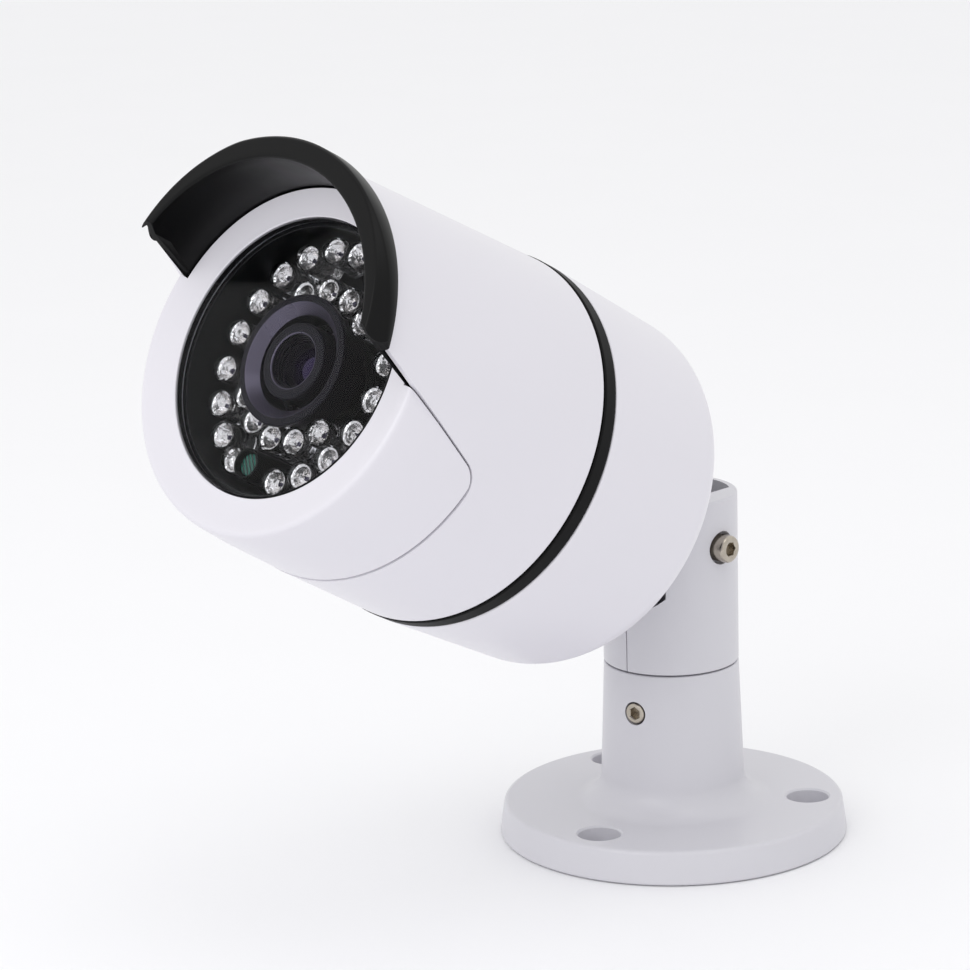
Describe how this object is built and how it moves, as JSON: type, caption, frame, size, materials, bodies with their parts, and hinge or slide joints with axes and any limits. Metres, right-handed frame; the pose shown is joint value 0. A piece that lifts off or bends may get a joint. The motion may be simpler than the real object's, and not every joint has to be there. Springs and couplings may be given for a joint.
{
  "type": "bullet security camera",
  "caption": "White bullet security camera with a black sun visor and a ring of infrared LEDs behind its window, on a round flange bracket that pans and tilts.",
  "frame": {"origin": "centre of the flange's underside, where it meets the wall or ceiling", "axes": "+Z is the pan axis, away from the mounting surface; -Y is the way the camera faces at rest, tilted up 27.7 degrees"},
  "size_m": [0.07, 0.1499, 0.1486],
  "materials": {
    "shell_paint": "satin",
    "bracket_paint": "satin",
    "black_plastic": "satin",
    "black_rubber": "matte",
    "nickel_steel": "satin",
    "optical_glass": "polished",
    "circuit_board": "satin",
    "clear_epoxy": "gloss",
    "sensor_face": "satin",
    "nylon": "satin",
    "brass": "satin"
  },
  "bodies": {
    "base": {"base_flange": "bracket_paint", "pan_set_screw": "nickel_steel"},
    "head": {"head_half_left": "bracket_paint", "head_half_right": "bracket_paint", "tilt_screw": "nickel_steel", "tilt_nut": "nickel_steel"},
    "neck": {"tilt_knuckle": "black_plastic", "cable_grommet": "black_rubber"},
    "lock_ring": {"lock_ring": "black_plastic"},
    "camera": {"rear_shell": "shell_paint", "body_band": "black_rubber", "front_shell": "shell_paint", "front_bezel": "shell_paint", "visor": "black_plastic", "window_glass": "optical_glass", "led_shroud": "black_plastic", "led_board": "circuit_board", "led_string_1": "clear_epoxy", "led_string_2": "clear_epoxy", "led_string_3": "clear_epoxy", "led_string_4": "clear_epoxy", "led_string_5": "clear_epoxy", "led_string_6": "clear_epoxy", "led_string_7": "clear_epoxy", "photocell": "sensor_face", "photocell_sleeve": "black_rubber", "lens_hood": "black_rubber", "lens_holder": "black_plastic", "ir_cut_solenoid": "brass", "image_sensor": "circuit_board", "sensor_board": "circuit_board", "video_board": "circuit_board", "board_connector": "nylon", "board_post_1": "brass", "board_post_2": "brass", "board_post_3": "brass", "board_post_4": "brass", "led_post_1": "brass", "led_post_2": "brass", "visor_screw_left": "nickel_steel", "visor_screw_right": "nickel_steel", "neck_seal": "black_rubber"},
    "lens": {"lens_barrel": "black_plastic", "front_lens": "optical_glass", "rear_lens": "optical_glass"},
    "ir_filter": {"ir_cut_filter": "optical_glass"}
  },
  "joints": [
    {"name": "pan", "type": "hinge", "parent": "base", "child": "head", "pos_m": [0, 0, 0.0345], "axis": [0, 0, 1], "range_deg": [-180, 180]},
    {"name": "tilt", "type": "hinge", "parent": "head", "child": "neck", "pos_m": [0, 0, 0.0588], "axis": [-1, 0, 0], "range_deg": [-27.7, 62.3]},
    {"name": "roll", "type": "hinge", "parent": "neck", "child": "camera", "pos_m": [0, 0, 0.0588], "axis": [0, -0.8854, 0.4648], "range_deg": [-180, 180]},
    {"name": "lock_ring_turn", "type": "hinge", "parent": "neck", "child": "lock_ring", "pos_m": [0, 0, 0.0588], "axis": [0, -0.8854, 0.4648], "range_deg": [0, 180]},
    {"name": "focus", "type": "hinge", "parent": "camera", "child": "lens", "pos_m": [0, 0, 0.0588], "axis": [0, -0.8854, 0.4648], "range_deg": [-180, 180]},
    {"name": "ir_cut", "type": "slide", "parent": "camera", "child": "ir_filter", "axis": [0.9792, -0.0943, -0.1795], "range_m": [0, 0.005]}
  ]
}
